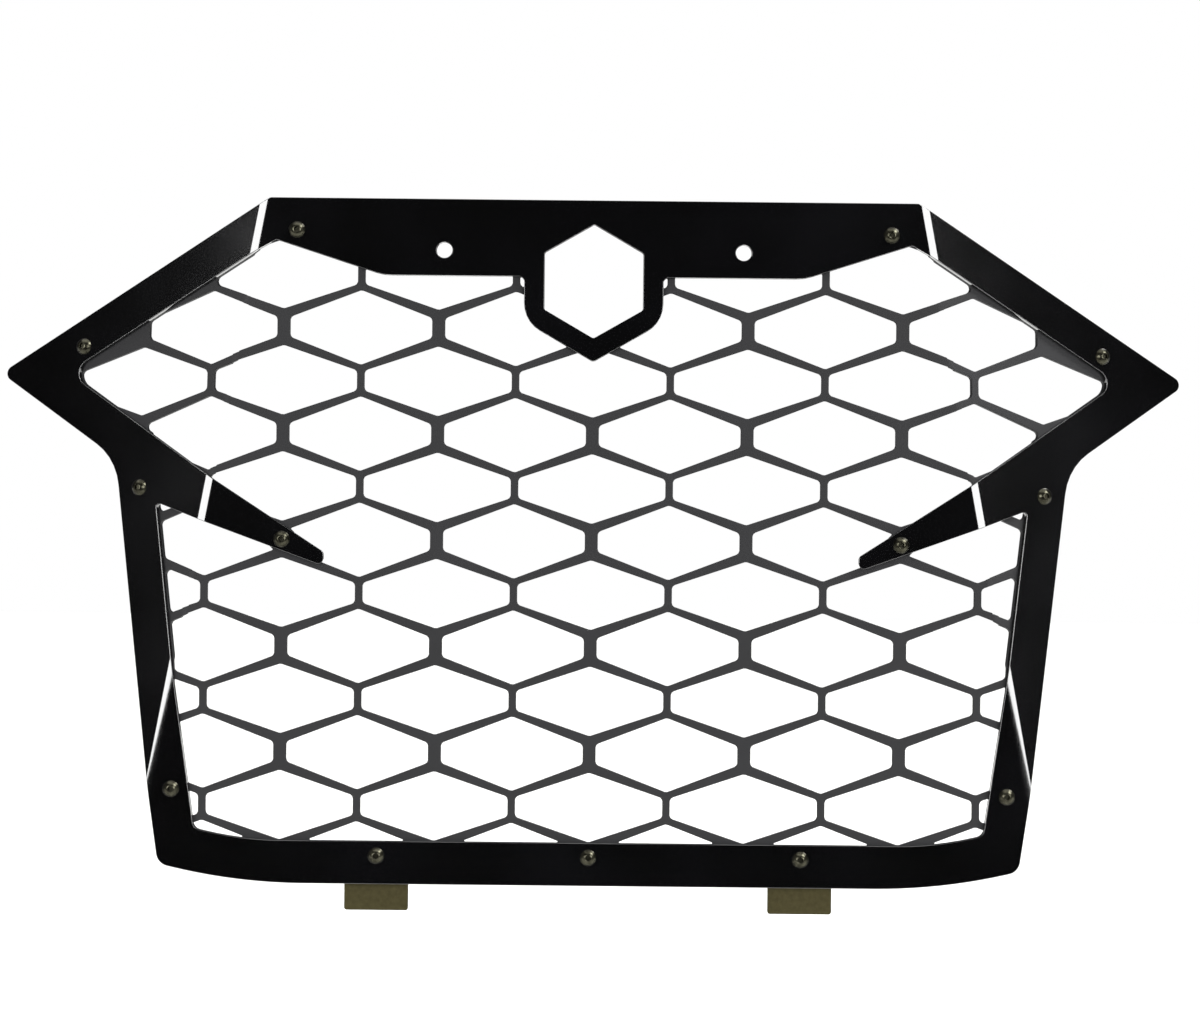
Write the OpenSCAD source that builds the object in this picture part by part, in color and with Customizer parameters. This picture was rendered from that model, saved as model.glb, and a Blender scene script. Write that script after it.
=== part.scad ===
// Front grille for an off-road vehicle: a black face frame and a hexagon mesh panel,
// two cut sheets that are bent back together at the wings and clamped by button-head screws.
// The face looks along -Y, +X is to the right and +Z is up. The origin is midway between the
// two top mounting holes, on the rear mounting face. Outlines are drawn in the flat, before
// the wings are bent, as [x, z] points of the right half, and are mirrored to the left.

/* [Face frame] */
// Width of the flat sheet from wing tip to wing tip
span = 712; // [664:2:860]
// Height from the top edge to the bottom edge
frame_h = 389.4; // [340:1:470]
// Thickness of the face frame
frame_t = 3; // [2:0.5:6]
// Length of the straight top edge
top_edge_w = 368; // [330:2:420]
// Drop from the top edge to the wing tips
tip_drop = 97.4; // [85:1:125]
// Width across the waist, where the wings meet the side bars
waist_w = 556; // [530:2:600]
// Drop from the top edge to the waist
waist_drop = 148; // [135:1:175]
// Width across the feet of the side bars
foot_w = 489; // [440:2:560]
// Rise of the foot corners above the bottom edge
foot_rise = 10.4; // [6:0.2:14]
// Width of the straight part of the bottom edge, measured between its bends
bottom_edge_w = 400; // [340:5:420]

/* [Bars] */
// Height of the top bar
top_bar_h = 43.5; // [36:0.5:52]
// Distance from the centre to where the lower edge of the top bar starts to rise
top_bar_flat = 119.5; // [95:0.5:130]
// Angle at which that edge rises towards the wings
top_bar_rise = 17.8; // [10:0.2:24]
// Width of the upper bar of each wing
wing_bar_w = 22.5; // [18:0.5:30]
// Width of the lower bar of each wing
waist_bar_w = 24; // [19:0.5:30]
// Width of the side bars
side_bar_w = 23; // [19:0.5:30]
// Height of the foot bar
foot_bar_h = 24.3; // [20:0.5:30]

/* [Prongs] */
// Distance from the centre to the end of each prong
prong_end = 152; // [130:1:165]
// Height of the blunt end of each prong
prong_end_h = 8; // [6:0.5:12]
// Drop from the top edge to the root of the prong's lower edge
prong_root_drop = 173.3; // [165:0.5:190]
// Distance from the centre to each prong screw
prong_screw = 176; // [170:1:195]
// Height of the prong screw above the prong's lower edge
prong_screw_up = 6.4; // [5.5:0.1:8]

/* [Emblem window] */
// Width of the hexagonal window across its upright sides
window_w = 56; // [40:1:64]
// Width of the bar around the window
window_bar = 11.6; // [8:0.2:15]
// Drop from the mounting holes to the centre of the window
window_drop = 17; // [12:0.5:22]

/* [Bends] */
// Angle by which each wing is swept back
sweep = 22; // [10:1:32]
// Lean of the bend line from upright
bend_lean = 10.65; // [6:0.5:14]
// Distance from the centre to the bend line at the height of the mounting holes
bend_at = 192.5; // [190:0.5:196]
// Inner radius of the bend, at the mounting face
bend_r = 8; // [4:0.5:16]

/* [Mesh] */
// Thickness of the mesh panel
mesh_t = 3; // [2:0.5:6]
// Gap between the edge of the mesh panel and the edge of the frame that covers it
mesh_inset = 3; // [1:0.5:5]
// Columns of the mesh between the centre and a prong screw
mesh_cols = 4; // [3:1:6]
// Height from one row of the mesh to the next
mesh_row = 30.2; // [24:0.2:38]
// Width of the narrow upright walls
narrow_wall = 4.3; // [3:0.1:6]
// Width of the wide upright walls
wide_wall = 7.4; // [5:0.1:9]
// Height of the opening between two narrow walls, from point to point
narrow_cell_h = 39.6; // [30:0.2:46]
// Height of the opening between two wide walls, from point to point
wide_cell_h = 42.4; // [32:0.2:48]
// Height of the upright sides of the openings
cell_side = 11.4; // [8:0.2:16]
// Radius of the corners of the openings
cell_r = 2.6; // [1:0.1:4]
// Radius of the corners where the frame's edge cuts an opening short
cut_short_r = 0.5; // [0.3:0.1:1]
// Radius of the pad around each prong screw
pad_r = 8; // [7:0.5:14]

/* [Lower tabs] */
// Distance from the centre to the middle of each tab
tab_at = 120.5; // [80:0.5:150]
// Width of a tab
tab_w = 36.4; // [24:0.2:60]
// Length of a tab below the bottom edge
tab_drop = 15.4; // [8:0.2:40]
// Length of a tab above the bottom edge
tab_grip = 23.2; // [22:0.2:24]
// Thickness of a tab
tab_t = 3; // [2:0.5:5]

/* [Mounting holes] */
// Distance between the two top mounting holes
mount_spacing = 170; // [130:1:200]
// Diameter of the top mounting holes
mount_d = 9; // [6:0.5:12]
// Height of the top edge above the mounting holes
mount_drop = 29; // [24:0.5:32]

/* [Screw places] */
// Distance of the top screws in from the ends of the top edge
top_screw_in = 15.1; // [12:0.1:25]
// Distance of the top screws below the top edge
top_screw_down = 18.2; // [10:0.1:20]
// Distance of the wing screws from the wing tips, along the edge
wing_screw_run = 54.7; // [50:0.1:70]
// Distance of the wing screws in from the edge
wing_screw_in = 14.3; // [9:0.1:15]
// Distance of the shoulder screws below the waist, along the edge
shoulder_screw_run = 18.9; // [14:0.1:24]
// Distance of the side screws from the feet, along the edge
side_screw_run = 41.1; // [34:0.1:60]
// Distance of the shoulder and side screws in from the edge
side_screw_in = 13.2; // [11:0.1:14]
// Height of the foot screws above the bottom edge
foot_screw_up = 16.1; // [12:0.1:18]

/* [Fasteners] */
// Diameter of the screw thread
screw_d = 5; // [4:0.5:6]
// Length of the screws under the head
screw_l = 16; // [14:1:25]
// Length of the screws that also hold the tabs
tab_screw_l = 20; // [18:1:30]
// Diameter of the screw head
head_d = 9.5; // [8:0.1:11]
// Height of the screw head
head_h = 2.75; // [2:0.05:3.5]
// Width of the hexagon socket across its flats
socket_af = 3; // [2:0.5:4]
// Depth of the hexagon socket
socket_depth = 1.7; // [1:0.1:2]
// Clearance of the screw holes, on the diameter
hole_clear = 0.5; // [0.2:0.1:1]
// Diameter of the washers
washer_d = 10; // [9:0.5:12]
// Thickness of the washers
washer_t = 1; // [0.5:0.1:1.6]
// Clearance of the washers around the screw, on the diameter
washer_clear = 0.3; // [0.2:0.1:0.6]
// Width of the nuts across their flats
nut_af = 8; // [7.5:0.5:10]
// Height of the hexagon of the nuts
nut_hex_h = 3.5; // [3:0.1:5]
// Diameter of the collar that holds the nylon ring
collar_d = 7.2; // [6.8:0.1:8]
// Height of that collar
collar_h = 1.5; // [1.2:0.1:2.5]
// Wall of that collar around the nylon ring
collar_wall = 0.5; // [0.3:0.1:0.6]
// Height of the nylon ring
ring_h = 1.2; // [0.8:0.1:1.2]
// Clearance between the screw thread and the nut, on the diameter
thread_clear = 0.1; // [0.05:0.05:0.3]

/* [Corner radii] */
// Ends of the top edge
shoulder_r = 3; // [1:0.5:10]
// Wing tips
tip_r = 4.5; // [2:0.5:8]
// Waist
waist_r = 34; // [15:1:45]
// Feet of the side bars
foot_r = 8; // [3:0.5:12]
// Bends of the bottom edge
bottom_r = 330; // [100:10:330]
// Bends of the upper edge of the foot bar
foot_bar_r = 190; // [60:10:190]
// Where the lower edge of the top bar starts to rise
rise_r = 30; // [5:1:60]
// Upper corners of the frame opening
peak_r = 3; // [1:0.5:8]
// Inner corners of the wings
wing_r = 8; // [3:0.5:12]
// Ends of the prongs
prong_r = 3; // [1:0.25:3]
// Roots of the prongs
root_r = 2; // [0.5:0.5:5]
// Lower corners of the frame opening
sill_r = 5; // [2:0.5:12]
// Where the window bar leaves the top bar
brow_r = 3; // [1:0.5:8]
// Lower side corners of the window bar
cheek_r = 18; // [6:1:22]
// Point of the window bar
chin_r = 3; // [1:0.5:12]
// Corners of the window
window_r = 2; // [0.5:0.5:8]
// Corners of the tabs
tab_r = 1.5; // [0.5:0.5:5]

/* [Hidden] */

// Finishes
gloss_black = "#101012";
mesh_grey = "#404042";
stainless = "#8b897b";
zinc = "#a5a9ab";
nylon = "#e4e6e2";
bare_olive = "#4a4530";

// Round things are true circles, arcs in outlines take a point every so often
$fn = 48;
arc_turn = 12;
arc_run = 8;
cell_corner_fn = 12;

// How far a cutting shape runs past what it cuts
past = 1;

// ---- Points and lines in the flat pattern ----

function unit(v) = v / norm(v);
function left_of(v) = [-v[1], v[0]];
function cross2(a, b) = a[0] * b[1] - a[1] * b[0];

// Where the line from p along u meets the line from q along v
function meet(p, u, q, v) = p + u * cross2(q - p, v) / cross2(u, v);

// The corner c between its neighbours b and d, moved in by one width for each of its edges
function inner_corner(b, c, d, w_in, w_out) =
    meet(c - left_of(unit(c - b)) * w_in, c - b, c - left_of(unit(d - c)) * w_out, d - c);

// A point a given run from p towards q, and a given distance to the left of that way
function edge_point(p, q, run, inset) = p + unit(q - p) * run + left_of(unit(q - p)) * inset;

// The point at height z, or at distance x, on the line through p and q
function at_height(p, q, z) = p + (q - p) * (z - p[1]) / (q[1] - p[1]);
function at_reach(p, q, x) = p + (q - p) * (x - p[0]) / (q[0] - p[0]);

// A corner c between b and d, as the points of an arc of radius r
function rounded_corner(b, c, d, r) =
    let (
        to_b = unit(b - c),
        to_d = unit(d - c),
        half = acos(to_b * to_d) / 2,
        centre = c + unit(to_b + to_d) * r / sin(half),
        start = c + to_b * r / tan(half) - centre,
        turn = sign(cross2(c - b, d - c)) * (180 - 2 * half),
        run = r * abs(turn) * PI / 180,
        steps = max(2, ceil(abs(turn) / arc_turn), ceil(run / arc_run))
    )
    [for (i = [0:steps])
        let (a = turn * i / steps)
        centre + [start[0] * cos(a) - start[1] * sin(a), start[0] * sin(a) + start[1] * cos(a)]];

// An outline from [point, radius] corners
function rounded(corners) =
    let (n = len(corners))
    [for (i = [0:n - 1])
        each rounded_corner(corners[(i + n - 1) % n][0], corners[i][0],
                            corners[(i + 1) % n][0], corners[i][1])];

// The corners of the right half, followed by the same corners of the left half
function both_halves(half) =
    concat(half, [for (i = [len(half) - 1:-1:0])
        if (half[i][0][0] > 0) [[-half[i][0][0], half[i][0][1]], half[i][1]]]);

// ---- Outline of the frame, right half, from the top edge clockwise ----

top_z = mount_drop;
bottom_z = top_z - frame_h;
shoulder = [top_edge_w / 2, top_z];
tip = [span / 2, top_z - tip_drop];
waist = [waist_w / 2, top_z - waist_drop];
foot = [foot_w / 2, bottom_z + foot_rise];
bottom = [bottom_edge_w / 2, bottom_z];
top_middle = [0, top_z];
bottom_middle = [0, bottom_z];

frame_corners = [[shoulder, shoulder_r], [tip, tip_r], [waist, waist_r], [foot, foot_r],
                 [bottom, bottom_r]];

// ---- The field inside the bars, which the mesh fills ----

field_rise = [top_bar_flat, top_z - top_bar_h];
field_tip = inner_corner(shoulder, tip, waist, wing_bar_w, waist_bar_w);
wing_way = tip - shoulder;
field_peak = meet(field_rise, [cos(top_bar_rise), sin(top_bar_rise)], field_tip, wing_way);
field_waist = inner_corner(tip, waist, foot, waist_bar_w, side_bar_w);
field_foot = inner_corner(waist, foot, bottom, side_bar_w, foot_bar_h);
field_bottom = inner_corner(foot, bottom, bottom_middle, foot_bar_h, foot_bar_h);

// Prongs carry the lower edge of each wing on into the field
prong_top = at_reach(field_waist, field_tip, prong_end);
prong_low = prong_top - [0, prong_end_h];
prong_root = at_height(field_waist, field_foot, top_z - prong_root_drop);
prong_screw_at = at_reach(prong_low, prong_root, prong_screw) + [0, prong_screw_up];

// The window and the bar around it are hexagons with a point up and a point down
window_mid = [0, -window_drop];
window_bar_w = window_w + 2 * window_bar;
function hexagon_half(w) =
    [[0, w / sqrt(3)], [w / 2, w / sqrt(12)], [w / 2, -w / sqrt(12)], [0, -w / sqrt(3)]];
window_bar_half = hexagon_half(window_bar_w);
brow = [window_bar_w / 2, field_rise[1]];
cheek = window_mid + window_bar_half[2];
chin = window_mid + window_bar_half[3];

field_corners = [[chin, chin_r], [cheek, cheek_r], [brow, brow_r], [field_rise, rise_r],
                 [field_peak, peak_r], [field_tip, wing_r], [field_waist, root_r],
                 [field_foot, sill_r], [field_bottom, foot_bar_r]];

opening_corners = [[chin, chin_r], [cheek, cheek_r], [brow, brow_r], [field_rise, rise_r],
                   [field_peak, peak_r], [field_tip, wing_r], [prong_top, prong_r],
                   [prong_low, prong_r], [prong_root, root_r], [field_foot, sill_r],
                   [field_bottom, foot_bar_r]];

// ---- Bends ----

// Both sheets bend about one line, so that the bend zone is as wide as the face needs
stack_t = mesh_t + frame_t;
bend_w = (bend_r + stack_t) * sweep * PI / 180;
far = span;

// The flat zones run a little way into the bend and the bend starts a little late,
// so that they share solid metal
seam = 0.3;
seam_turn = asin(seam / (bend_r + stack_t));

// Distance of a point outboard of the bend line, and along it
bend_out = [cos(bend_lean), sin(bend_lean)];
bend_up = left_of(bend_out);
function past_bend(p) = (p - [bend_at, 0]) * bend_out;
function along_bend(p) = (p - [bend_at, 0]) * bend_up;

// Moves a thing drawn at the start of the right bend zone into place
module at_bend() {
    translate([bend_at, 0, 0])
        rotate([0, -bend_lean, 0])
            translate([-bend_w / 2, 0, 0])
                children();
}

// Swings a thing about the axis of the bend
module swing(angle) {
    translate([0, bend_r, 0])
        rotate([0, 0, angle])
            translate([0, -bend_r, 0])
                children();
}

// Draws an outline in the coordinates of the bend line, from a given distance outboard of it
module from_bend(start) {
    translate([-start, 0])
        rotate(-bend_lean)
            translate([-bend_at, 0])
                children();
}

// Stands an outline up as a sheet whose back is at a given height above the mounting face
module stand(back, t) {
    rotate([90, 0, 0])
        translate([0, 0, back])
            linear_extrude(t)
                children();
}

// The part of the flat sheet between the two bend lines
module middle_zone() {
    low = [bend_at, 0] + bend_out * (2 * seam - bend_w / 2) - bend_up * far;
    high = low + bend_up * 2 * far;
    polygon([low, high, [-high[0], high[1]], [-low[0], low[1]]]);
}

// Rounds the inner corners of the openings in an outline
module fillet_openings(r) {
    if (r > 0)
        offset(r = -r, $fn = cell_corner_fn)
            offset(delta = r)
                children();
    else
        children();
}

// The wing of a sheet on the right, bend and all
module wing(back, t, opening_r) {
    at_bend()
        swing(sweep)
            stand(back, t)
                difference() {
                    fillet_openings(opening_r)
                        intersection() {
                            from_bend(bend_w / 2) children();
                            translate([-2 * seam, -far]) square([far, 2 * far]);
                        }
                    from_bend(bend_w / 2) flat_holes();
                }
    at_bend()
        intersection() {
            translate([0, bend_r, -far])
                rotate(seam_turn - 90)
                    rotate_extrude(angle = sweep - 2 * seam_turn)
                        translate([bend_r + back, 0])
                            square([t, 2 * far]);
            swing(sweep / 2)
                stand(back - bend_w, t + 2 * bend_w)
                    fillet_openings(opening_r)
                        intersection() {
                            from_bend(0) children();
                            square([2 * bend_w, 2 * far], center = true);
                        }
        }
}

// A bent sheet with screw holes, from its flat outline
module bent_sheet(back, t, middle_opening_r, wing_opening_r) {
    union() {
        stand(back, t)
            difference() {
                fillet_openings(middle_opening_r)
                    intersection() {
                        children();
                        middle_zone();
                    }
                flat_holes();
            }
        wing(back, t, wing_opening_r) children();
        mirror([1, 0, 0]) wing(back, t, wing_opening_r) mirror([1, 0]) children();
    }
}

// Puts a thing at a point of the flat sheet, square to the sheet there
module at_point(p) {
    if (past_bend(p) > 0)
        at_bend()
            swing(sweep)
                translate([past_bend(p) - bend_w / 2, 0, along_bend(p)])
                    children();
    else
        translate([p[0], 0, p[1]])
            children();
}

// Puts a thing at a point of the right half and again at the same point of the left half
module at_both(p) {
    at_point(p) children();
    mirror([1, 0, 0]) at_point(p) children();
}

// A rod through the stack, along the way that a screw goes
module through(d, front, back) {
    translate([0, back, 0])
        rotate([90, 0, 0])
            cylinder(d = d, h = back - front);
}

// ---- Screw places ----

top_at = shoulder - [top_screw_in, top_screw_down];
wing_at = edge_point(tip, shoulder, wing_screw_run, wing_screw_in);
shoulder_at = edge_point(waist, foot, shoulder_screw_run, -side_screw_in);
side_at = edge_point(foot, waist, side_screw_run, side_screw_in);
tab_screw_at = [tab_at, bottom_z + foot_screw_up];
foot_at = [0, bottom_z + foot_screw_up];
paired_screws = [top_at, wing_at, shoulder_at, prong_screw_at, side_at, tab_screw_at];

// The screw holes and the mounting holes in the flat sheets
module flat_holes() {
    for (side = [-1, 1]) {
        for (p = paired_screws)
            translate([side * p[0], p[1]])
                circle(d = screw_d + hole_clear);
        translate([side * mount_spacing / 2, 0])
            circle(d = mount_d);
    }
    translate(foot_at)
        circle(d = screw_d + hole_clear);
}

// ---- Outlines ----

module frame_outline() polygon(rounded(both_halves(frame_corners)));

module window_outline(w, r) {
    half = [for (p = hexagon_half(w)) [window_mid + p, r]];
    polygon(rounded(both_halves(half)));
}

// The rear sheet stops short of the frame's edge all round
module mesh_outline() {
    in = mesh_inset;
    corners = [
        [inner_corner(top_middle, shoulder, tip, in, in), shoulder_r],
        [inner_corner(shoulder, tip, waist, in, in), tip_r],
        [inner_corner(tip, waist, foot, in, in), waist_r + in],
        [inner_corner(waist, foot, bottom, in, in), foot_r],
        [inner_corner(foot, bottom, bottom_middle, in, in), bottom_r - in]
    ];
    polygon(rounded(both_halves(corners)));
}

// ---- Mesh ----

cell_w = 2 * prong_screw_at[0] / mesh_cols;
wide_side_x = (cell_w - wide_wall) / 2;
narrow_side_x = (cell_w - narrow_wall) / 2;
cols = ceil(span / cell_w);
rows_up = ceil((top_z - prong_screw_at[1]) / mesh_row);
rows_down = ceil((prong_screw_at[1] - bottom_z) / mesh_row);

// An opening with upright sides and a point above and below
module cell(half_w, h) {
    side = cell_side / 2;
    offset(r = cell_r, $fn = cell_corner_fn)
        offset(delta = -cell_r)
            polygon([[0, h / 2], [half_w, side], [half_w, -side],
                     [0, -h / 2], [-half_w, -side], [-half_w, side]]);
}

// Rows with wide walls lie level with the prong screws, a wide wall on each screw,
// and rows with narrow walls lie between them. On the wings, what the frame's edge leaves
// of a cell is rounded as a whole cell is, so that narrow remains stay closed
module cells() {
    for (row = [-rows_down:rows_up], col = [-cols:cols])
        if ((row + col + mesh_cols) % 2 != 0)
            translate([col * cell_w / 2, prong_screw_at[1] + row * mesh_row])
                if (row % 2 == 0) cell(wide_side_x, wide_cell_h);
                else cell(narrow_side_x, narrow_cell_h);
}

module mesh_openings() {
    difference() {
        intersection() {
            cells();
            polygon(rounded(both_halves(field_corners)));
        }
        for (side = [-1, 1])
            translate([side * prong_screw_at[0], prong_screw_at[1]])
                circle(r = pad_r);
    }
}

// ---- Sheets ----

module frame_plate() {
    color(gloss_black)
        bent_sheet(mesh_t, frame_t, 0, 0)
            difference() {
                frame_outline();
                polygon(rounded(both_halves(opening_corners)));
                window_outline(window_w, window_r);
            }
}

module mesh_panel() {
    color(mesh_grey)
        bent_sheet(0, mesh_t, cut_short_r, cell_r)
            difference() {
                mesh_outline();
                mesh_openings();
                window_outline(window_w, window_r);
            }
}

// A tab hangs behind the foot bar from one screw
module lower_tab(side) {
    low = bottom_z - tab_drop;
    high = bottom_z + tab_grip;
    corners = [for (p = [[tab_w / 2, high], [tab_w / 2, low], [-tab_w / 2, low], [-tab_w / 2, high]])
        [[side * tab_at + p[0], p[1]], tab_r]];
    color(bare_olive)
        difference() {
            stand(-tab_t, tab_t) polygon(rounded(corners));
            translate([side * tab_at, 0, foot_at[1]])
                through(screw_d + hole_clear, -past, tab_t + past);
        }
}

module lower_tab_left() lower_tab(-1);
module lower_tab_right() lower_tab(1);

// ---- Fasteners, each with its axis along Y and the mounting face at Y = 0 ----

// The head is a slice of a sphere, flat on top, with a hexagon socket
head_flat_d = 3.8;
head_base = (pow(head_d / 2, 2) - pow(head_flat_d / 2, 2) - head_h * head_h) / (2 * head_h);
head_ball = norm([head_d / 2, head_base]);
end_chamfer = 0.5;

module screw(l) {
    translate([0, -stack_t, 0])
        rotate([90, 0, 0])
            difference() {
                union() {
                    intersection() {
                        translate([0, 0, -head_base]) sphere(r = head_ball);
                        cylinder(d = head_d, h = head_h);
                    }
                    translate([0, 0, end_chamfer - l]) cylinder(d = screw_d, h = l - end_chamfer);
                    translate([0, 0, -l])
                        cylinder(d1 = screw_d - 2 * end_chamfer, d2 = screw_d, h = end_chamfer);
                }
                translate([0, 0, head_h - socket_depth])
                    rotate(30)
                        cylinder(d = socket_af / cos(30), h = socket_depth + past, $fn = 6);
            }
}

module washer(back) {
    difference() {
        through(washer_d, back, back + washer_t);
        through(screw_d + washer_clear, back - past, back + washer_t + past);
    }
}

// The nut's collar holds the nylon ring at its rear end
nut_h = nut_hex_h + collar_h;

module nut(back) {
    front = back + washer_t;
    difference() {
        union() {
            translate([0, front + nut_hex_h, 0])
                rotate([90, 0, 0])
                    cylinder(d = nut_af / cos(30), h = nut_hex_h, $fn = 6);
            through(collar_d, front, front + nut_h);
        }
        through(screw_d + thread_clear, front - past, front + nut_h + past);
        through(collar_d - 2 * collar_wall, front + nut_h - ring_h, front + nut_h + past);
    }
}

module nut_ring(back) {
    end = back + washer_t + nut_h;
    difference() {
        through(collar_d - 2 * collar_wall, end - ring_h, end);
        through(screw_d + thread_clear, end - ring_h - past, end + past);
    }
}

module top_screws() color(stainless) at_both(top_at) screw(screw_l);
module wing_screws() color(stainless) at_both(wing_at) screw(screw_l);
module shoulder_screws() color(stainless) at_both(shoulder_at) screw(screw_l);
module prong_screws() color(stainless) at_both(prong_screw_at) screw(screw_l);
module side_screws() color(stainless) at_both(side_at) screw(screw_l);
module tab_screws() color(stainless) at_both(tab_screw_at) screw(tab_screw_l);
module foot_screw() color(stainless) at_point(foot_at) screw(screw_l);

module top_washers() color(zinc) at_both(top_at) washer(0);
module wing_washers() color(zinc) at_both(wing_at) washer(0);
module shoulder_washers() color(zinc) at_both(shoulder_at) washer(0);
module prong_washers() color(zinc) at_both(prong_screw_at) washer(0);
module side_washers() color(zinc) at_both(side_at) washer(0);
module tab_washers() color(zinc) at_both(tab_screw_at) washer(tab_t);
module foot_washer() color(zinc) at_point(foot_at) washer(0);

module top_nuts() color(zinc) at_both(top_at) nut(0);
module wing_nuts() color(zinc) at_both(wing_at) nut(0);
module shoulder_nuts() color(zinc) at_both(shoulder_at) nut(0);
module prong_nuts() color(zinc) at_both(prong_screw_at) nut(0);
module side_nuts() color(zinc) at_both(side_at) nut(0);
module tab_nuts() color(zinc) at_both(tab_screw_at) nut(tab_t);
module foot_nut() color(zinc) at_point(foot_at) nut(0);

module top_nut_rings() color(nylon) at_both(top_at) nut_ring(0);
module wing_nut_rings() color(nylon) at_both(wing_at) nut_ring(0);
module shoulder_nut_rings() color(nylon) at_both(shoulder_at) nut_ring(0);
module prong_nut_rings() color(nylon) at_both(prong_screw_at) nut_ring(0);
module side_nut_rings() color(nylon) at_both(side_at) nut_ring(0);
module tab_nut_rings() color(nylon) at_both(tab_screw_at) nut_ring(tab_t);
module foot_nut_ring() color(nylon) at_point(foot_at) nut_ring(0);

frame_plate();
mesh_panel();
lower_tab_left();
lower_tab_right();
top_screws();
wing_screws();
shoulder_screws();
prong_screws();
side_screws();
tab_screws();
foot_screw();
top_washers();
wing_washers();
shoulder_washers();
prong_washers();
side_washers();
tab_washers();
foot_washer();
top_nuts();
wing_nuts();
shoulder_nuts();
prong_nuts();
side_nuts();
tab_nuts();
foot_nut();
top_nut_rings();
wing_nut_rings();
shoulder_nut_rings();
prong_nut_rings();
side_nut_rings();
tab_nut_rings();
foot_nut_ring();
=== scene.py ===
from math import atan2, cos, hypot, pi, radians, sin, sqrt

import bpy
from mathutils import Matrix, Vector
from mathutils.geometry import delaunay_2d_cdt


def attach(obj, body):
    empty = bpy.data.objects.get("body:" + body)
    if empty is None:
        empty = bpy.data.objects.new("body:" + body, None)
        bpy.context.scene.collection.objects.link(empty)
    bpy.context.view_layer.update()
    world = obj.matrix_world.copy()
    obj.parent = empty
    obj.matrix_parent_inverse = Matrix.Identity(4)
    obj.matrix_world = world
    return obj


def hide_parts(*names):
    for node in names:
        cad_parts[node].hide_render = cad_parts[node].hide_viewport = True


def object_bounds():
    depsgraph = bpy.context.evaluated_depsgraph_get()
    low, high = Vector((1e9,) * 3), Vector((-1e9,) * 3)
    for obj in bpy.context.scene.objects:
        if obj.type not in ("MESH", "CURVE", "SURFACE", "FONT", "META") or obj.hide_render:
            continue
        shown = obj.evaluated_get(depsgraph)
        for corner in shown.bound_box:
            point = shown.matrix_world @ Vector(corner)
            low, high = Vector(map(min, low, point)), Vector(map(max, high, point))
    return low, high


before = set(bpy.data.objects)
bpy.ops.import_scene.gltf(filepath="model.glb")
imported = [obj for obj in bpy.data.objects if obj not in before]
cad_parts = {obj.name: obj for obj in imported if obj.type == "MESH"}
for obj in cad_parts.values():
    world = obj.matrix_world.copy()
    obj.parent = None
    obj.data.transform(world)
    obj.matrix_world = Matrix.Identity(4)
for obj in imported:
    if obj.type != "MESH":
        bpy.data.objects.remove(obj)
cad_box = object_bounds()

MM = 0.001

# The bends of the two sheets, in millimetres: each wing swings back about an upright line that
# leans outwards at the foot. FACE_R is the radius of the front face, which sets the bend's width.
BEND_AT = 192.5
BEND_LEAN = radians(10.65)
BEND_R = 8.0
SWEEP = radians(22)
STACK_T = 6.0
FACE_R = BEND_R + STACK_T
BEND_W = FACE_R * SWEEP
BEND_STEPS = 10
BEND_LINE_REACH = 600.0

# Edges of the cut sheets, rounded by tumbling before they were coated
EDGE_STEPS = 3
LAYER_SLACK = 0.02
SAME_POINT = 0.03
STRAIGHT = 0.012
LEAST_MITRE = 0.3

# A loop is a round hole if its radius is this even and its longest edge is this short
ROUND_HOLE_STEPS = 64
EVEN_RADIUS = 0.98
SHORT_EDGE = 0.6


# ---- The bent sheets, unrolled and folded ----

def unroll(point):
    """Where a point of the bent sheets lies in their flat pattern, and its height"""
    side = -1 if point.x < 0 else 1
    x, z = side * point.x / MM - BEND_AT, point.z / MM
    out = x * cos(BEND_LEAN) + z * sin(BEND_LEAN) + BEND_W / 2
    up = z * cos(BEND_LEAN) - x * sin(BEND_LEAN)
    ahead = BEND_R - point.y / MM
    if out > 0:
        turn = atan2(out, ahead)
        if turn < SWEEP:
            out, ahead = turn * FACE_R, hypot(out, ahead)
        else:
            out, ahead = (out * cos(SWEEP) - ahead * sin(SWEEP) + BEND_W,
                          out * sin(SWEEP) + ahead * cos(SWEEP))
    out -= BEND_W / 2
    flat_x = BEND_AT + out * cos(BEND_LEAN) - up * sin(BEND_LEAN)
    flat_z = out * sin(BEND_LEAN) + up * cos(BEND_LEAN)
    return side * flat_x, flat_z, ahead - BEND_R


def bend_turn(x, z):
    """How far round the bend a point of the flat pattern is, and its place out and along it"""
    x = abs(x) - BEND_AT
    out = x * cos(BEND_LEAN) + z * sin(BEND_LEAN) + BEND_W / 2
    up = z * cos(BEND_LEAN) - x * sin(BEND_LEAN)
    return min(max(out / FACE_R, 0), SWEEP), out, up


def fold(x, z, height):
    """The place of a point of the flat pattern on the bent sheets"""
    turn, out, up = bend_turn(x, z)
    past = out - turn * FACE_R
    radius = BEND_R + height
    out = radius * sin(turn) + past * cos(turn) - BEND_W / 2
    ahead = radius * cos(turn) - past * sin(turn)
    side = -1 if x < 0 else 1
    return Vector((side * (BEND_AT + out * cos(BEND_LEAN) - up * sin(BEND_LEAN)),
                   BEND_R - ahead,
                   out * sin(BEND_LEAN) + up * cos(BEND_LEAN))) * MM


def fold_way(x, z, way):
    """The direction on the bent sheets of a direction (x, z, forward) in the flat pattern"""
    turn = bend_turn(x, z)[0]
    side = -1 if x < 0 else 1
    across, upward, forward = side * way[0], way[1], way[2]
    out = across * cos(BEND_LEAN) + upward * sin(BEND_LEAN)
    up = upward * cos(BEND_LEAN) - across * sin(BEND_LEAN)
    out, forward = (out * cos(turn) + forward * sin(turn),
                    forward * cos(turn) - out * sin(turn))
    return Vector((side * (out * cos(BEND_LEAN) - up * sin(BEND_LEAN)), -forward,
                   out * sin(BEND_LEAN) + up * cos(BEND_LEAN)))


# ---- Outlines, read from the CAD solids ----

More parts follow.
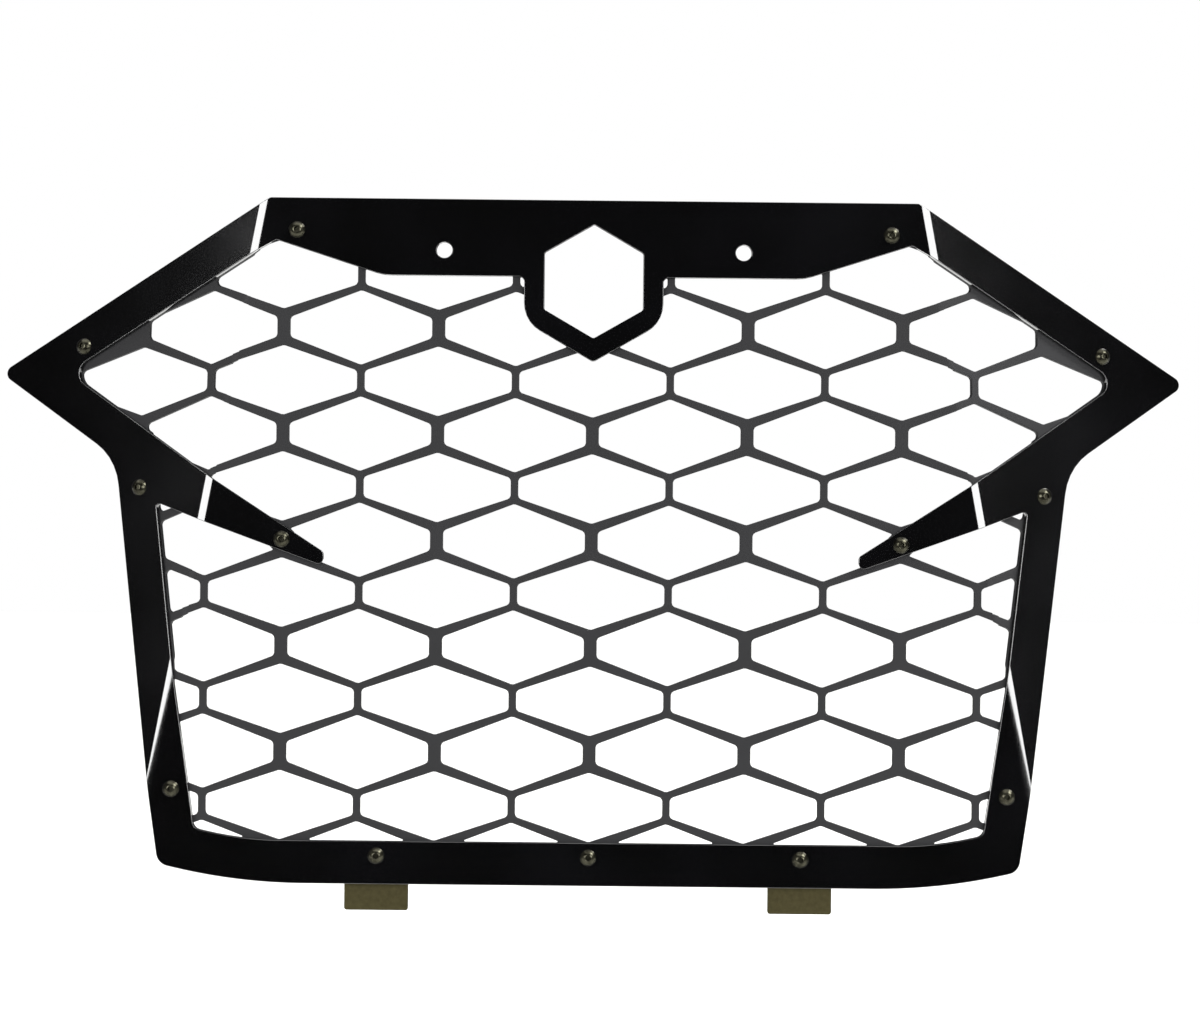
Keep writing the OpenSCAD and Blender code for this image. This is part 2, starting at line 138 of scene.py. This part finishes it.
def cad_mesh(node):
    """The points of a CAD node, each once, and its faces"""
    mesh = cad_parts[node].data
    index, points = {}, []
    for v in mesh.vertices:
        if tuple(v.co) not in index:
            index[tuple(v.co)] = len(points)
            points.append(v.co.copy())
    faces = [[index[tuple(mesh.vertices[i].co)] for i in p.vertices] for p in mesh.polygons]
    return points, faces


def border_loops(faces):
    """The loops of edges that only one face has, each with the faces on its left"""
    edges = {(f[i - 1], f[i]) for f in faces for i in range(len(f))}
    follows = {a: b for a, b in edges if (b, a) not in edges}
    loops = []
    while follows:
        start, here = follows.popitem()
        loop = [start]
        while here != start:
            loop.append(here)
            here = follows.pop(here)
        loops.append(loop)
    return sorted(loops, key=lambda loop: min(loop))


def off_line(p, a, b):
    """Distance of a point from the line through two others"""
    run = hypot(b[0] - a[0], b[1] - a[1])
    if run < SAME_POINT:
        return hypot(p[0] - a[0], p[1] - a[1])
    return abs((b[0] - a[0]) * (p[1] - a[1]) - (b[1] - a[1]) * (p[0] - a[0])) / run


def thinned(path):
    """An open path without the points that add nothing to its shape"""
    keep, stack = {0, len(path) - 1}, [(0, len(path) - 1)]
    while stack:
        first, last = stack.pop()
        inner = range(first + 1, last)
        if not inner:
            continue
        worst = max(inner, key=lambda i: off_line(path[i], path[first], path[last]))
        if off_line(path[worst], path[first], path[last]) > STRAIGHT:
            keep.add(worst)
            stack += [(first, worst), (worst, last)]
    return [path[i] for i in sorted(keep)]


def cleaned(loop):
    """A closed outline with straight runs as single edges, and round holes as true circles"""
    mid = [(min(p[k] for p in loop) + max(p[k] for p in loop)) / 2 for k in (0, 1)]
    radii = [hypot(p[0] - mid[0], p[1] - mid[1]) for p in loop]
    radius = max(radii)
    longest = max(hypot(p[0] - loop[i - 1][0], p[1] - loop[i - 1][1]) for i, p in enumerate(loop))
    if min(radii) > EVEN_RADIUS * radius and longest < SHORT_EDGE * radius:
        turns = [-2 * pi * k / ROUND_HOLE_STEPS for k in range(ROUND_HOLE_STEPS)]
        return [(mid[0] + radius * cos(a), mid[1] + radius * sin(a)) for a in turns]
    far = max(range(len(loop)), key=lambda i: radii[i])
    loop = loop[far:] + loop[:far]
    start = loop[0]
    half = max(range(len(loop)), key=lambda i: hypot(loop[i][0] - start[0], loop[i][1] - start[1]))
    path = thinned(loop[:half + 1])[:-1] + thinned(loop[half:] + loop[:1])[:-1]
    return [p for i, p in enumerate(path)
            if hypot(p[0] - path[i - 1][0], p[1] - path[i - 1][1]) > SAME_POINT]


def leftward(loop):
    """At each point of a loop, the vector that moves both of its edges to the left by one"""
    ways = []
    for i, p in enumerate(loop):
        before, after = loop[i - 1], loop[(i + 1) % len(loop)]
        a = Vector((p[0] - before[0], p[1] - before[1])).normalized()
        b = Vector((after[0] - p[0], after[1] - p[1])).normalized()
        ways.append(Vector((-a.y - b.y, a.x + b.x)) / max(1 + a.dot(b), LEAST_MITRE))
    return ways


def face_loops(node, height):
    """The outlines of one face of a sheet, in its flat pattern"""
    points, faces = cad_mesh(node)
    flat = [unroll(p) for p in points]
    on_face = [f for f in faces if all(abs(flat[i][2] - height) < LAYER_SLACK for i in f)]
    return [cleaned([flat[i][:2] for i in loop]) for loop in border_loops(on_face)]


# ---- Meshes ----

SHARP = radians(38)


def add_mesh(name, points, faces, material, normals=None):
    """A piece from its points and faces, smooth where it is round"""
    mesh = bpy.data.meshes.new(name)
    mesh.from_pydata(points, [], faces)
    mesh.materials.append(material)
    mesh.polygons.foreach_set("use_smooth", [True] * len(mesh.polygons))
    if normals:
        mesh.normals_split_custom_set_from_vertices(normals)
    else:
        mesh.set_sharp_from_angle(angle=SHARP)
    mesh.validate()
    piece = bpy.data.objects.new(name, mesh)
    bpy.context.scene.collection.objects.link(piece)
    return piece


def bend_lines():
    """The ends of the lines along which the mesh of a bent sheet is cut, in its flat pattern"""
    lines = []
    for side in (1, -1):
        for step in range(BEND_STEPS + 1):
            out = BEND_W * (step / BEND_STEPS - 0.5)
            lines.append([(side * (BEND_AT + out * cos(BEND_LEAN) - up * sin(BEND_LEAN)),
                           out * sin(BEND_LEAN) + up * cos(BEND_LEAN))
                          for up in (-BEND_LINE_REACH, BEND_LINE_REACH)])
    return lines


def flat_triangles(outlines):
    """Points and triangles of the flat area inside the leftmost outline and outside the others"""
    points, loops = [], []
    for outline in outlines:
        loops.append(list(range(len(points), len(points) + len(outline))))
        points += outline
    edges = [(loop[i - 1], loop[i]) for loop in loops for i in range(len(loop))]
    if max(abs(p[0]) for p in points) > BEND_AT:
        for line in bend_lines():
            edges.append((len(points), len(points) + 1))
            points += line
    loops.sort(key=lambda loop: min(points[i][0] for i in loop))
    regions = [loops[0]] + [loop[::-1] for loop in loops[1:]]
    found = delaunay_2d_cdt([Vector(p) for p in points], edges, regions, 1, 1e-5)
    flat, triangles, within = found[0], found[2], found[5]
    kept = [list(t) for t, homes in zip(triangles, within) if list(homes) == [0]]
    used = sorted({i for t in kept for i in t})
    place = {old: new for new, old in enumerate(used)}
    return [tuple(flat[i]) for i in used], [[place[i] for i in t] for t in kept]


def add_sheet(name, node, front, back, edge_r, material):
    """A cut sheet with rounded edges, bent as its CAD solid is"""
    flat, kept = flat_triangles([
        [(p[0] + w.x * edge_r, p[1] + w.y * edge_r) for p, w in zip(loop, leftward(loop))]
        for loop in face_loops(node, front)])

    # Each row round an edge: how far out, how high, and the slant of its normal
    slants = [pi / 2 * k / EDGE_STEPS for k in range(1, EDGE_STEPS + 1)]
    edge_rows = [(edge_r * sin(a), front - edge_r * (1 - cos(a)), sin(a), cos(a)) for a in slants]
    edge_rows += [(out, back + front - height, flare, -lift)
                  for out, height, flare, lift in edge_rows[::-1]]
    points = [fold(*p, front) for p in flat] + [fold(*p, back) for p in flat]
    normals = [fold_way(*p, (0, 0, 1)) for p in flat] + [fold_way(*p, (0, 0, -1)) for p in flat]
    faces = kept + [[i + len(flat) for i in reversed(t)] for t in kept]
    for loop in border_loops(kept):
        corners = [flat[i] for i in loop]
        outward = [-w for w in leftward(corners)]
        rows = [loop]
        for out, height, flare, lift in edge_rows:
            rows.append(list(range(len(points), len(points) + len(loop))))
            for p, w in zip(corners, outward):
                points.append(fold(p[0] + w.x * out, p[1] + w.y * out, height))
                aside = w.normalized() * flare
                normals.append(fold_way(*p, (aside.x, aside.y, lift)))
        rows.append([i + len(flat) for i in loop])
        for upper, lower in zip(rows, rows[1:]):
            faces += [[upper[i], upper[i - 1], lower[i - 1], lower[i]] for i in range(len(loop))]
    return add_mesh(name, points, faces, material, normals)


# ---- Turned pieces, round a z axis that points out of the face, in millimetres ----

AROUND = 48


def hexagon(flats, turn):
    """Distance from the middle of a hexagon to its side, in the direction of an angle"""
    return flats / 2 / cos((turn + pi / 6) % (pi / 3) - pi / 6)


def turned(rows, closed):
    """A shape from rows of (radius, z), where a radius may be a function of the angle"""
    points, faces = [], []
    for radius, z in rows:
        for k in range(AROUND):
            turn = 2 * pi * k / AROUND
            r = radius(turn) if callable(radius) else radius
            points.append(Vector((r * cos(turn), r * sin(turn), z)))
    count = len(rows)
    for row in range(count if closed else count - 1):
        here, there = row * AROUND, (row + 1) % count * AROUND
        for k in range(AROUND):
            after = (k + 1) % AROUND
            faces.append([here + k, here + after, there + after, there + k])
    if not closed:
        faces += [list(range(AROUND))[::-1], list(range((count - 1) * AROUND, count * AROUND))]
    return points, faces


# ISO 7380 button head screw, M5 x 0.8, with a 3 mm hexagon socket
HEAD_D, HEAD_H, HEAD_FLAT = 9.5, 2.75, 3.8
SOCKET, SOCKET_DEPTH, SOCKET_MOUTH, SOCKET_POINT = 3.0, 1.7, 0.12, 0.04
# The dome starts above the head's lower edge, and its rows crowd together towards its rim
DOME_FOOT, DOME_SPAN, DOME_STEPS, DOME_CROWD = 0.2, HEAD_H - 0.27, 14, 1.15
# (radius, height above the seat) under the head, and (inset, depth) of the rim of the socket
UNDER_HEAD = [(2.6, 0.0), (4.55, 0.0), (4.68, 0.05), (4.72, 0.14)]
SOCKET_RIM = [(0.06, 0.02), (0.16, 0.0)]
SHANK_R, SHANK_EASE = 2.45, 0.2

# The thread's groove is flat at its foot and slants to its crests; rows follow it round
THREAD_D, PITCH, THREAD_DEPTH, THREAD_RUN, ROWS_PER_TURN = 5.0, 0.8, 0.42, 6.4, 8
GROOVE_TOP, GROOVE_SLANT = 1.3, 3.2
TAIL_CHAMFER, TAIL_FLAT_R, TAIL_DISH = 0.5, 1.2, 0.02


def screw_shape(low, high):
    """A screw from its tail at low to the top of its head at high"""
    seat = high - HEAD_H
    drop = (HEAD_D ** 2 / 4 - HEAD_FLAT ** 2 / 4 - HEAD_H ** 2) / (2 * HEAD_H)
    ball = hypot(HEAD_D / 2, drop)

    def thread(height):
        def radius(turn):
            phase = ((height - low) / PITCH - turn / (2 * pi)) % 1
            cut = THREAD_DEPTH * min(1, max(0, GROOVE_TOP - GROOVE_SLANT * abs(phase - 0.5)))
            return min(THREAD_D / 2 - cut, THREAD_D / 2 - TAIL_CHAMFER + height - low)
        return radius

    count = round(THREAD_RUN / PITCH * ROWS_PER_TURN)
    heights = [low + THREAD_RUN * k / count for k in range(count + 1)]
    rows = [(TAIL_FLAT_R, low + TAIL_DISH)]
    rows += [(thread(h), h) for h in heights]
    rows += [(SHANK_R, heights[-1] + SHANK_EASE), (SHANK_R, seat - SHANK_EASE)]
    rows += [(r, seat + z) for r, z in UNDER_HEAD]
    for k in range(1, DOME_STEPS + 1):
        z = DOME_FOOT + DOME_SPAN * sin(pi / 2 * k / DOME_STEPS) ** DOME_CROWD
        rows.append((sqrt(ball ** 2 - (z + drop) ** 2), seat + z))
    rows += [(HEAD_FLAT / 2 - inset, high - depth) for inset, depth in SOCKET_RIM]
    wall = [(1.0, SOCKET_MOUTH), (1.0, SOCKET_DEPTH), (SOCKET_POINT, SOCKET_DEPTH)]
    rows += [(lambda turn, s=s: s * hexagon(SOCKET, turn), high - depth) for s, depth in wall]
    return turned(rows, False)


# Washer: bore, outside, and the radii of the edges at the rear and at the front
WASHER_BORE_R, WASHER_R, STAMPED, CRISP = 2.65, 5.0, 0.25, 0.08
STAMPED_OUT, STAMPED_UP = 0.08, 0.07


def washer_shape(low, high):
    """A stamped washer: its rear edges are rounder than its front ones"""
    return turned([
        (WASHER_BORE_R, low + STAMPED), (WASHER_BORE_R + STAMPED_OUT, low + STAMPED_UP),
        (WASHER_BORE_R + STAMPED, low), (WASHER_R - STAMPED, low),
        (WASHER_R - STAMPED_OUT, low + STAMPED_UP), (WASHER_R, low + STAMPED),
        (WASHER_R, high - CRISP), (WASHER_R - CRISP, high),
        (WASHER_BORE_R + CRISP, high), (WASHER_BORE_R, high - CRISP)], True)


# Lock nut, as (radius, depth) rows behind its front face: the chamfer of the hexagon, which its
# rear repeats, the bore's mouth, and the collar, rolled in over the nylon ring at its end
NUT_FLATS, HEX_H = 8.0, 3.5
NYLON_R, NYLON_H, BORE_R = 3.1, 1.2, 2.55
NUT_CHAMFER = [(3.85, 0), (4.0, 0.06), (4.15, 0.15), (4.3, 0.24), (4.45, 0.33), (4.62, 0.44)]
NUT_MOUTH_R, NUT_MOUTH_DEPTH = 2.9, 0.35
NUT_COLLAR = [(3.72, 3.5), (3.6, 3.62), (3.6, 4.55), (3.53, 4.8), (3.38, 4.95), (3.22, 5.0),
              (NYLON_R, 4.93)]
NYLON_RING = [(BORE_R, 0.0), (NYLON_R, 0.0), (NYLON_R, 1.05), (3.0, 1.13), (2.85, 1.18),
              (2.63, 1.12), (BORE_R, 1.02)]


def nut_shape(low, high):
    """A lock nut: chamfered hexagon, and a collar rolled in over a nylon ring at its rear"""
    def corner(radius):
        return lambda turn: min(radius, hexagon(NUT_FLATS, turn))

    shelf = high - low - NYLON_H
    rows = [(NUT_MOUTH_R, 0), *[(corner(r), z) for r, z in NUT_CHAMFER],
            *[(corner(r), HEX_H - z) for r, z in NUT_CHAMFER[::-1]], *NUT_COLLAR,
            (NYLON_R, shelf), (BORE_R, shelf), (BORE_R, NUT_MOUTH_DEPTH)]
    return turned([(r, high - z) for r, z in rows[::-1]], True)


def nylon_shape(_, high):
    """The nylon ring, bulged a little between the collar and the thread"""
    return turned([(r, high - z) for r, z in NYLON_RING[::-1]], True)


def seats(node):
    """Where the pieces of a fastener node sit: a frame with z out of the face, and its ends"""
    pieces = [unroll(p) for p in cad_mesh(node)[0]]
    if max(p[0] for p in pieces) < HEAD_D:
        sides = [pieces]
    else:
        sides = [[p for p in pieces if p[0] * side > 0] for side in (1, -1)]
    found = []
    for flat in sides:
        low, high = [[f(p[k] for p in flat) for k in range(3)] for f in (min, max)]
        x, z = (low[0] + high[0]) / 2, (low[1] + high[1]) / 2
        ways = [fold_way(x, z, way) for way in ((1, 0, 0), (0, 1, 0), (0, 0, 1))]
        turn = Matrix([[w[k] for w in ways] for k in range(3)]).to_4x4()
        found.append((Matrix.Translation(fold(x, z, 0)) @ turn, low[2], high[2]))
    return found


def add_fasteners(name, node, shape, material):
    """The detailed pieces of a fastener node, both sides in one piece"""
    points, faces = [], []
    for place, low, high in seats(node):
        some, those = shape(low, high)
        faces += [[i + len(points) for i in f] for f in those]
        points += [place @ (p * MM) for p in some]
    return add_mesh(name, points, faces, material)


# ---- Materials ----

def linear(code):
    """An sRGB hex colour as linear RGBA"""
    parts = [int(code[i:i + 2], 16) / 255 for i in (1, 3, 5)]
    return (*[c / 12.92 if c <= 0.04045 else ((c + 0.055) / 1.055) ** 2.4 for c in parts], 1)


def node_in(tree, kind, settings=None, **links):
    """Adds a node, with its settings and inputs: i0 is its first input, Base_Color one by name,
    and an input is a value or another node's output"""
    made = tree.nodes.new(kind)
    for key, value in (settings or {}).items():
        setattr(made, key, value)
    for key, value in links.items():
        socket = made.inputs[int(key[1:])] if key[0] == "i" and key[1:].isdigit() else (
            made.inputs[key.replace("_", " ")])
        if isinstance(value, bpy.types.NodeSocket):
            tree.links.new(value, socket)
        else:
            socket.default_value = value
    return made


def paint(tree, shader, colour, rough, bump):
    """Gives a shader its colour, roughness and bump"""
    tree.links.new(colour, shader.inputs["Base Color"])
    if rough:
        tree.links.new(rough.outputs[0], shader.inputs["Roughness"])
    tree.links.new(bump.outputs[0], shader.inputs["Normal"])


def new_material(name):
    """An empty node material with its shader, and object coordinates in millimetres"""
    material = bpy.data.materials.new(name)
    material.use_nodes = True
    tree = material.node_tree
    shader = tree.nodes["Principled BSDF"]
    place = node_in(tree, "ShaderNodeTexCoord").outputs["Object"]
    in_mm = node_in(tree, "ShaderNodeVectorMath", {"operation": "SCALE"},
                    Vector=place, Scale=1 / MM).outputs[0]
    return material, tree, shader, in_mm


def ramp(tree, factor, stops):
    """Turns a value into a colour through (position, colour) stops"""
    made = node_in(tree, "ShaderNodeValToRGB", None, Fac=factor)
    for element, (at, colour) in zip(made.color_ramp.elements, (stops[0], stops[-1])):
        element.position, element.color = at, colour
    for at, colour in stops[1:-1]:
        made.color_ramp.elements.new(at).color = colour
    return made.outputs["Color"]


def gloss_black_powder_coat():
    """Polyester powder under clear powder, baked: deep black, a hard gloss, a faint orange peel"""
    material, tree, shader, place = new_material("gloss_black_powder_coat")
    # Orange peel has waves about 3 mm long and a few micrometres high
    peel = node_in(tree, "ShaderNodeTexNoise", None, Vector=place, Scale=0.33, Detail=1.5)
    bump = node_in(tree, "ShaderNodeBump", None, Strength=0.22, Distance=0.000012,
                   Height=peel.outputs["Fac"])
    # Handling leaves the gloss a little uneven, in patches a hand wide
    haze = node_in(tree, "ShaderNodeTexNoise", None, Vector=place, Scale=0.012, Detail=4.0)
    rough = node_in(tree, "ShaderNodeMapRange", None, Value=haze.outputs["Fac"],
                    i1=0.35, i2=0.7, i3=0.07, i4=0.11)
    colour = ramp(tree, haze.outputs["Fac"], [(0.3, linear("#030303")), (0.7, linear("#050506"))])
    paint(tree, shader, colour, rough, bump)
    shader.inputs["IOR"].default_value = 1.5
    shader.inputs["Coat Weight"].default_value = 1.0
    shader.inputs["Coat Roughness"].default_value = 0.05
    return material


def satin_grey_powder_coat():
    """Dark grey powder with a satin set: fine texture, soft wide highlights"""
    material, tree, shader, place = new_material("satin_grey_powder_coat")
    # The grains of the texture are about 0.5 mm across
    grain = node_in(tree, "ShaderNodeTexNoise", None, Vector=place, Scale=2.0, Detail=3.0)
    bump = node_in(tree, "ShaderNodeBump", None, Strength=0.5, Distance=0.00003,
                   Height=grain.outputs["Fac"])
    drift = node_in(tree, "ShaderNodeTexNoise", None, Vector=place, Scale=0.02, Detail=3.0)
    mixed = node_in(tree, "ShaderNodeMix", {"data_type": "FLOAT"}, Factor=0.35,
                    i2=drift.outputs["Fac"], i3=grain.outputs["Fac"])
    colour = ramp(tree, mixed.outputs[0], [(0.3, linear("#141415")), (0.7, linear("#19191b"))])
    rough = node_in(tree, "ShaderNodeMapRange", None, Value=grain.outputs["Fac"],
                    i1=0.3, i2=0.7, i3=0.5, i4=0.64)
    paint(tree, shader, colour, rough, bump)
    shader.inputs["IOR"].default_value = 1.5
    shader.inputs["Specular IOR Level"].default_value = 0.2
    return material


def metal(name, light, dark, rough_low, rough_high, mark_scale, bump_height):
    """A bare or plated metal: its colour drifts in patches and fine marks scatter its shine"""
    material, tree, shader, place = new_material(name)
    patch = node_in(tree, "ShaderNodeTexNoise", None, Vector=place, Scale=0.35, Detail=5.0)
    marks = node_in(tree, "ShaderNodeTexNoise", None, Vector=place, Scale=mark_scale, Detail=2.0)
    colour = ramp(tree, patch.outputs["Fac"], [(0.32, linear(dark)), (0.68, linear(light))])
    rough = node_in(tree, "ShaderNodeMapRange", None, Value=marks.outputs["Fac"],
                    i1=0.3, i2=0.7, i3=rough_low, i4=rough_high)
    bump = node_in(tree, "ShaderNodeBump", None, Strength=0.4, Distance=bump_height,
                   Height=marks.outputs["Fac"])
    paint(tree, shader, colour, rough, bump)
    shader.inputs["Metallic"].default_value = 1.0
    return material


def natural_nylon():
    """Moulded polyamide, milky: light goes a little way in and the surface is waxy"""
    material, tree, shader, place = new_material("natural_nylon")
    cloud = node_in(tree, "ShaderNodeTexNoise", None, Vector=place, Scale=0.8, Detail=3.0)
    colour = ramp(tree, cloud.outputs["Fac"], [(0.3, linear("#cfd0c8")), (0.7, linear("#e6e7e0"))])
    bump = node_in(tree, "ShaderNodeBump", None, Strength=0.3, Distance=0.00002,
                   Height=cloud.outputs["Fac"])
    paint(tree, shader, colour, None, bump)
    shader.inputs["Roughness"].default_value = 0.42
    shader.inputs["IOR"].default_value = 1.53
    shader.inputs["Subsurface Weight"].default_value = 0.15
    shader.inputs["Subsurface Radius"].default_value = (0.0008, 0.0008, 0.0007)
    return material


gloss_black = gloss_black_powder_coat()
satin_grey = satin_grey_powder_coat()
# Machined stainless steel, dulled: warm grey, with turning marks about 0.25 mm apart
stainless = metal("stainless_steel_machined", "#403f35", "#24231c", 0.2, 0.34, 4.0, 0.00002)
# Bright zinc over cold-rolled steel: pale blue-grey with a fine spangle
zinc = metal("steel_zinc_plated", "#c4c8cb", "#9da2a6", 0.28, 0.42, 2.5, 0.000015)
# Hot-rolled steel under a thin olive chromate film: brown-green, patchy and dull
olive_steel = metal("steel_olive_chromate", "#3e3a27", "#363221", 0.42, 0.56, 0.5, 0.00001)
nylon = natural_nylon()

# ---- Pieces ----

# Heights above the mounting face of the sheets' faces, and the radii of their edges
SHEET_SEAM, TAB_BACK = 3.0, -3.0
FRAME_EDGE_R, MESH_EDGE_R, TAB_EDGE_R = 0.35, 0.45, 0.3
sheets = [
    ("frame_plate_bent", "frame_plate", STACK_T, SHEET_SEAM, FRAME_EDGE_R, gloss_black,
     "face_frame"),
    ("mesh_panel_bent", "mesh_panel", SHEET_SEAM, 0.0, MESH_EDGE_R, satin_grey, "mesh"),
    ("lower_tab_left_cut", "lower_tab_left", 0.0, TAB_BACK, TAB_EDGE_R, olive_steel, "tab"),
    ("lower_tab_right_cut", "lower_tab_right", 0.0, TAB_BACK, TAB_EDGE_R, olive_steel, "tab"),
]
for name, node, front, back, edge_r, material, slot in sheets:
    piece = add_sheet(name, node, front, back, edge_r, material)
    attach(piece, "root")
    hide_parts(node)

kinds = [("screw", "screws", screw_shape, stainless, "screw"),
         ("washer", "washers", washer_shape, zinc, "washer"),
         ("nut", "nuts", nut_shape, zinc, "nut"),
         ("nut_ring", "nut_rings", nylon_shape, nylon, "nylon_ring")]
places = ["top", "wing", "shoulder", "prong", "side", "tab", "foot"]
for one, several, shape, material, slot in kinds:
    for place in places:
        node = f"{place}_{one if place == 'foot' else several}"
        piece = add_fasteners(node + "_made", node, shape, material)
        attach(piece, "root")
        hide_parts(node)

# ---- Studio ----

FLOOR_Z = cad_box[0][2] - 0.1
floor_paint, _, floor_shader, _ = new_material("painted_studio_floor")
floor_shader.inputs["Base Color"].default_value = linear("#f2f2f0")
floor_shader.inputs["Roughness"].default_value = 0.9

# The floor stops just in front of the part, so that the black face has nothing pale to mirror
FLOOR_REACH, FLOOR_FRONT = 9.0, -0.42
corners = [(-FLOOR_REACH, FLOOR_FRONT), (FLOOR_REACH, FLOOR_FRONT),
           (FLOOR_REACH, FLOOR_REACH), (-FLOOR_REACH, FLOOR_REACH)]
points = [Vector((x, y, FLOOR_Z)) for x, y in corners]
faces = [list(range(len(corners)))]
floor = add_mesh("studio_floor", points, faces, floor_paint)


def add_light(name, place, target, size, power):
    """A soft rectangular light that faces a point"""
    lamp = bpy.data.lights.new(name, "AREA")
    lamp.shape, lamp.size, lamp.size_y = "RECTANGLE", size[0], size[1]
    lamp.energy = power
    thing = bpy.data.objects.new(name, lamp)
    way = Vector(target) - Vector(place)
    thing.matrix_world = (Matrix.Translation(place)
                          @ way.to_track_quat("-Z", "Y").to_matrix().to_4x4())
    bpy.context.scene.collection.objects.link(thing)


MIDDLE = Vector((0.0048, 0, -0.149))
for side, name in ((-1, "left"), (1, "right")):
    add_light(name + "_softbox", (side * 1.33, -1.95, 0.24), (side * 0.1, 0, 0), (1.35, 0.98), 52)
add_light("high_spark", (1.35, -0.6, 1.3), MIDDLE, (0.8, 0.8), 55)

overhead = bpy.data.lights.new("overhead_sky", "SUN")
overhead.angle = radians(70)
overhead.energy = 3.0
sky = bpy.data.objects.new("overhead_sky", overhead)
bpy.context.scene.collection.objects.link(sky)

world = bpy.data.worlds.new("studio_air")
world.use_nodes = True
bpy.context.scene.world = world
air = world.node_tree
seen = air.nodes["Background"]
seen.inputs["Color"].default_value = linear("#ffffff")
seen.inputs["Strength"].default_value = 1.0
soft = node_in(air, "ShaderNodeBackground", None, Color=linear("#ffffff"), Strength=0.45)
# What the gloss mirrors: a dark front, pale side walls and a dim back
facing = node_in(air, "ShaderNodeSeparateXYZ", None,
                 Vector=node_in(air, "ShaderNodeTexCoord").outputs["Generated"]).outputs["Y"]
place = node_in(air, "ShaderNodeMapRange", None, Value=facing, i1=-1.0, i2=1.0).outputs[0]
glow = ramp(air, place, [(0.0, linear("#0a0a0a")), (0.25, linear("#0a0a0a")),
                         (0.36, linear("#b4b4b4")), (0.5, linear("#b4b4b4")),
                         (0.58, linear("#303030"))])
mirrored = node_in(air, "ShaderNodeBackground", None, Color=glow, Strength=1.0)
path = node_in(air, "ShaderNodeLightPath")
lit = node_in(air, "ShaderNodeMixShader", None, i0=path.outputs["Is Glossy Ray"],
              i1=soft.outputs[0], i2=mirrored.outputs[0])
both = node_in(air, "ShaderNodeMixShader", None, i0=path.outputs["Is Camera Ray"],
               i1=lit.outputs[0], i2=seen.outputs[0])
air.links.new(both.outputs[0], air.nodes["World Output"].inputs["Surface"])

CAMERA_DISTANCE = 2.0
ROLL = radians(0.585)
camera_data = bpy.data.cameras.new("camera")
camera_data.sensor_width = 36
camera_data.lens = 105.7
camera = bpy.data.objects.new("camera", camera_data)
camera.matrix_world = (
    Matrix.Translation((MIDDLE.x, -STACK_T * MM - CAMERA_DISTANCE, MIDDLE.z))
    @ Matrix.Rotation(pi / 2, 4, "X") @ Matrix.Rotation(ROLL, 4, "Z"))
bpy.context.scene.collection.objects.link(camera)
bpy.context.scene.camera = camera
bpy.context.scene.view_settings.view_transform = "Standard"
